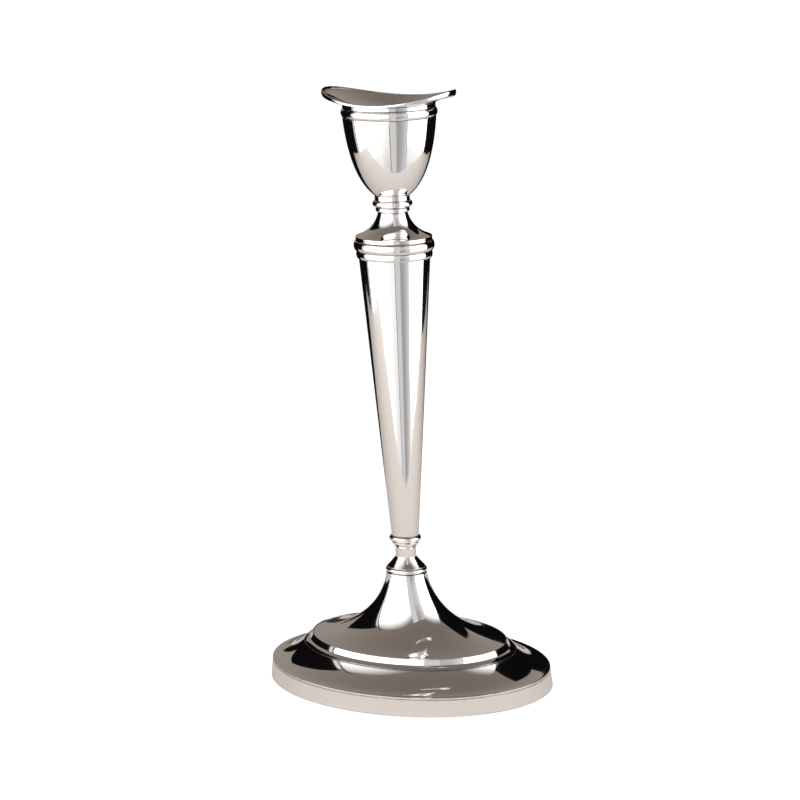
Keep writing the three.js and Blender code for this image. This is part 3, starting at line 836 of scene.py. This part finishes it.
# Black flags and softbox frames, the pale gap beside the left flag, and the dark back
FRAME_OUTER = -99
GAP_OUTER = -103
FRAME_AWAY = 0.92
FLAG_AWAY = 1.6
BACK_FLAG_AWAY = 1.7
flag = glow("black_flag", "#0c0b0b", 1)
panel("softbox_frame_left", FRAME_OUTER, LEFT_OUTER, 0.95, BELOW, 1.2, flag)
panel("gap_left", GAP_OUTER, FRAME_OUTER, 1.0, BELOW, 1.0, glow("pale_gap", "#e8e4de", 1))
panel("flag_left", -152, GAP_OUTER, FLAG_AWAY, BELOW, (0.89, 1.86), flag)
panel("flag_back_left", -166, -151, BACK_FLAG_AWAY, BELOW, 0.32, flag)
panel("softbox_frame_inner", LEFT_INNER, -14.6, FRAME_AWAY, BELOW, -0.02, flag)
panel("softbox_frame_right", 28, RIGHT_INNER, FRAME_AWAY, BELOW, 1.5, flag)
panel("flag_right", RIGHT_OUTER, 152, FLAG_AWAY, BELOW, (2.46, 1.93), flag)
panel("flag_back_right", 151, 178, BACK_FLAG_AWAY, BELOW, (0.88, 0.7), flag)
panel("dark_back", 177, 190, WALL_AWAY, BELOW, 0.16, glow("dark_brown_back", "#3a3430", 1))

# Matte table that the silver reflects, with painted light: a glow that grows brighter towards the camera
table_finish, table_tree, table_shader, table_place = new_material("matte_white_table_with_painted_glow")
forward = add_node(table_tree, "ShaderNodeVectorMath", {"operation": "DOT_PRODUCT"},
                   {0: table_place, 1: towards_camera})
# Painted light: the table's emission rises towards the camera in place of the light that falls on it
painted_light_glow = add_node(table_tree, "ShaderNodeMapRange", {},
                 {"Value": forward.outputs["Value"], "From Min": -0.3, "From Max": 0.2,
                  "To Min": 0.015, "To Max": 0.11})
feed(table_tree, table_shader, {"Base Color": linear("#f4efeb"), "Roughness": 0.9,
                                "Specular IOR Level": 0.1, "Emission Color": linear("#fff8f0"),
                                "Emission Strength": painted_light_glow.outputs["Result"]})
TABLE_HEIGHT = -0.2 * MM
TABLE = [(0.205, -0.61), (0.243, -0.32), (0.236, -0.05), (0.236, 0.13), (0.21, 0.27), (0.015, 0.53),
         (-0.62, 0.53), (-0.36, 0.18), (-0.28, -0.24), (-0.4, -0.61)]
table = level_sheet("table", TABLE, TABLE_HEIGHT, table_finish)
table.visible_camera = False

# Pale floor that the camera sees
floor_finish, floor_tree, floor_shader, _ = new_material("pale_paper_floor")
feed(floor_tree, floor_shader, {"Base Color": linear("#a0a0a0"), "Roughness": 0.9,
                                "Emission Color": linear("#ffffff"), "Emission Strength": 0.98})
FLOOR_HEIGHT = -0.1 * MM
FLOOR_REACH = 8
FLOOR = [(FLOOR_REACH, -FLOOR_REACH), (FLOOR_REACH, FLOOR_REACH), (-FLOOR_REACH, FLOOR_REACH),
         (-FLOOR_REACH, -FLOOR_REACH)]
floor = level_sheet("floor", FLOOR, FLOOR_HEIGHT, floor_finish)
floor.visible_glossy = False
floor.visible_diffuse = False
floor.visible_shadow = False

# Taupe room, darker overhead; the camera sees the pale backdrop instead
DIMS_FROM = 0.4
DIMS_TO = 0.95
world = bpy.data.worlds.new("studio")
bpy.context.scene.world = world
world.use_nodes = True
sky = world.node_tree
heading = sky.nodes.new("ShaderNodeTexCoord").outputs["Generated"]
upward = add_node(sky, "ShaderNodeSeparateXYZ", {}, {"Vector": heading}).outputs["Z"]
overhead = add_node(sky, "ShaderNodeMapRange", {},
                    {"Value": upward, "From Min": DIMS_FROM, "From Max": DIMS_TO})
room = add_node(sky, "ShaderNodeMix", {"data_type": "RGBA"},
                {"Factor": overhead.outputs["Result"], "A": linear("#968e86"), "B": linear("#766d66")})
camera_ray = sky.nodes.new("ShaderNodeLightPath").outputs["Is Camera Ray"]
seen = add_node(sky, "ShaderNodeMix", {"data_type": "RGBA"},
                {"Factor": camera_ray, "A": room.outputs["Result"], "B": linear("#ffffff")})
feed(sky, sky.nodes["Background"], {"Color": seen.outputs["Result"]})
bpy.context.scene.view_settings.view_transform = "Standard"
